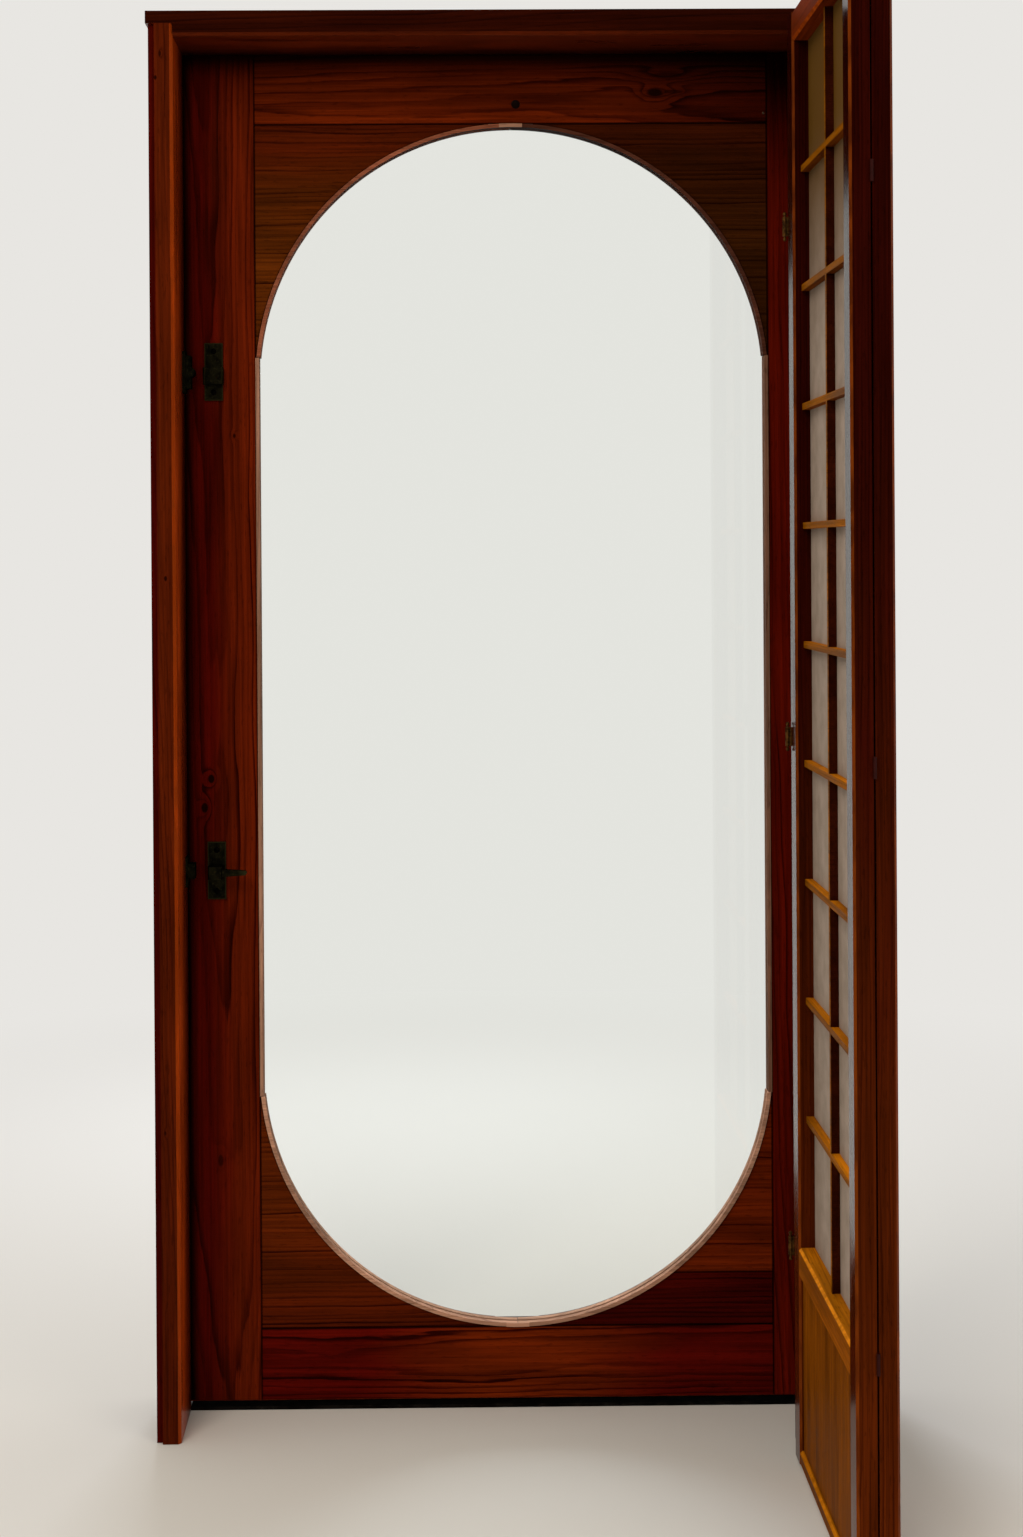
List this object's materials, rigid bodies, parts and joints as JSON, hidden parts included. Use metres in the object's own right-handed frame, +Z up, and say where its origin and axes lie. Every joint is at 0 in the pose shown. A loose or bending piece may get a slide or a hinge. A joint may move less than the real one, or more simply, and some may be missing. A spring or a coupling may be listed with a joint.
{
  "type": "timber door set with round-ended window and folding paper screen",
  "caption": "Deep timber door frame with an outward-opening leaf, a tall round-ended pane, and a folding paper-lattice screen folded back at its side.",
  "frame": {"origin": "middle of the clear opening on the underside of the threshold strip, below the room face of the leaf", "axes": "+X to the right seen from the room, +Y from the room to the outside, +Z up"},
  "size_m": [0.95, 0.66, 1.85],
  "materials": {
    "frame_timber": "red-brown stained timber, satin varnish",
    "leaf_timber": "red-brown stained timber, satin varnish",
    "corner_timber": "red-brown stained boards with level grain",
    "rim_timber": "steam-bent pinkish timber",
    "screen_timber": "amber-brown planed timber",
    "screen_board": "amber flat-sawn board",
    "paper": "translucent mulberry paper",
    "glass": "clear float glass",
    "bronze": "aged dark bronze",
    "brass": "worn brass",
    "threshold_metal": "dark worn metal"
  },
  "bodies": {
    "frame": {"head": "frame_timber", "left_jamb": "frame_timber", "right_jamb": "frame_timber", "threshold": "threshold_metal", "screen_post": "frame_timber", "post_tie": "frame_timber", "upper_keeper": "bronze", "lower_keeper": "bronze", "hinge_jamb_plates": "bronze", "screen_hinges": "brass", "fold_hinges": "brass", "front_far_stile": "screen_timber", "front_near_stile": "screen_timber", "front_top_rail": "screen_timber", "front_middle_rail": "screen_timber", "front_bottom_rail": "screen_timber", "front_lattice": "screen_timber", "front_paper": "paper", "front_board": "screen_board", "back_far_stile": "screen_timber", "back_near_stile": "screen_timber", "back_top_rail": "screen_timber", "back_middle_rail": "screen_timber", "back_bottom_rail": "screen_timber", "back_lattice": "screen_timber", "back_paper": "paper", "back_board": "screen_board"},
    "door": {"lock_stile": "leaf_timber", "hinge_stile": "leaf_timber", "top_rail": "leaf_timber", "bottom_rail": "leaf_timber", "corner_upper_left": "corner_timber", "corner_upper_right": "corner_timber", "corner_lower_left": "corner_timber", "corner_lower_right": "corner_timber", "glass": "glass", "rim_arch_upper_left": "rim_timber", "rim_arch_upper_right": "rim_timber", "rim_side_left": "rim_timber", "rim_side_right": "rim_timber", "rim_arch_lower_left": "rim_timber", "rim_arch_lower_right": "rim_timber", "rim_keys": "rim_timber", "upper_lock": "bronze", "lever_plate": "bronze", "outer_lever_plate": "bronze", "key_plate": "bronze", "hinge_door_plates": "bronze"},
    "lever": {"room_lever": "bronze", "outer_lever": "bronze"}
  },
  "joints": [
    {"name": "door_swing", "type": "hinge", "parent": "frame", "child": "door", "pos_m": [0.4505, 0.049, 0.917], "axis": [0, 0, -1], "range_deg": [0, 110]},
    {"name": "lever_turn", "type": "hinge", "parent": "door", "child": "lever", "pos_m": [-0.401, 0, 0.724], "axis": [0, 1, 0], "range_deg": [0, 40], "stiffness_Nm_per_rad": 0.6, "springref_deg": -17.19}
  ]
}
